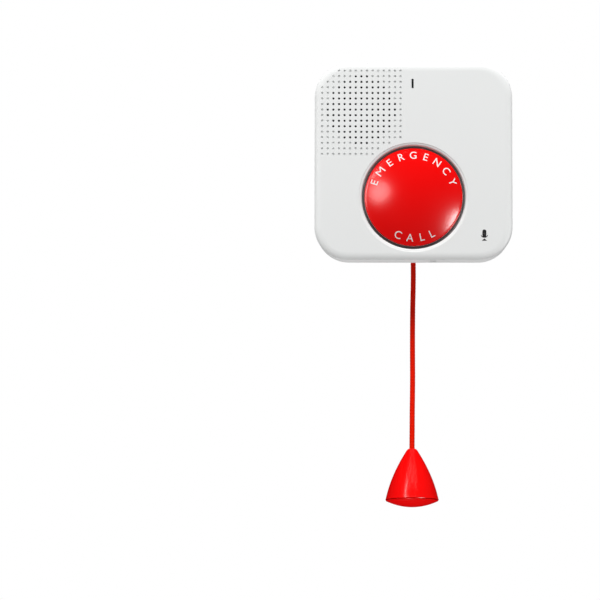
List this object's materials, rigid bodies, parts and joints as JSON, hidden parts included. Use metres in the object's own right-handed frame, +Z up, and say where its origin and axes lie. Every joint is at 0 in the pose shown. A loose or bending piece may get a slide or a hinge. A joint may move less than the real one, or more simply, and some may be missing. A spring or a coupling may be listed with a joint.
{
  "type": "wall-mounted call station",
  "caption": "White wall-mounted call station with a domed red call button, a speaker grille, and a red pull cord ending in a cone-shaped handle.",
  "frame": {"origin": "middle of the wall cradle's flat back, on the wall", "axes": "+Z up the wall, +Y into the wall, +X to the right seen from the room"},
  "size_m": [0.13, 0.0773, 0.2892],
  "materials": {
    "white_plastic": "fine satin",
    "grey_plastic": "satin",
    "red_plastic": "gloss",
    "red_cord": "braided",
    "ring_plastic": "satin",
    "black_plastic": "matte",
    "natural_plastic": "matte",
    "clear_plastic": "clear, smoked",
    "rubber": "matte",
    "cloth": "woven",
    "cone": "pressed paper",
    "board": "solder mask",
    "cell_jacket": "printed sleeve",
    "steel": "plated"
  },
  "bodies": {
    "station": {"front_shell": "white_plastic", "trim_ring": "ring_plastic", "button_spring": "steel", "button_switch": "black_plastic", "grille_cloth": "cloth", "speaker_gasket": "rubber", "speaker_frame": "steel", "speaker_cone": "cone", "speaker_magnet": "steel", "light_pipe": "clear_plastic", "status_led": "natural_plastic", "microphone_boot": "rubber", "microphone": "steel", "main_board": "board", "board_screw_1": "steel", "board_screw_2": "steel", "board_screw_3": "steel", "board_screw_4": "steel", "radio_module": "steel", "terminal_block": "board", "rear_housing": "grey_plastic", "housing_seal": "rubber", "case_screw_1": "steel", "case_screw_2": "steel", "case_screw_3": "steel", "case_screw_4": "steel", "side_screw": "steel", "bottom_screw": "steel", "cable_grommet": "rubber", "battery_tray": "black_plastic", "battery_cell_1": "cell_jacket", "battery_cell_2": "cell_jacket", "battery_cell_3": "cell_jacket", "battery_contact_left": "steel", "battery_contact_right": "steel", "battery_door": "grey_plastic", "wall_cradle": "grey_plastic", "plunger_spring": "steel", "pull_switch": "black_plastic"},
    "call_button": {"button_dome": "red_plastic", "button_carrier": "natural_plastic"},
    "pull": {"pull_plunger": "red_plastic", "pull_cord": "red_cord", "upper_knot": "red_cord", "lower_knot": "red_cord", "pull_handle": "red_plastic", "handle_base": "red_plastic"}
  },
  "joints": [
    {"name": "button_press", "type": "slide", "parent": "station", "child": "call_button", "axis": [0, 0.9848, 0.1736], "range_m": [0, 0.0025], "stiffness_N_per_m": 1200, "springref_m": -0.002, "deforming": ["button_spring"]},
    {"name": "cord_pull", "type": "slide", "parent": "station", "child": "pull", "axis": [0, 0.1736, -0.9848], "range_m": [0, 0.005], "stiffness_N_per_m": 800, "springref_m": -0.003, "deforming": ["plunger_spring"]}
  ]
}
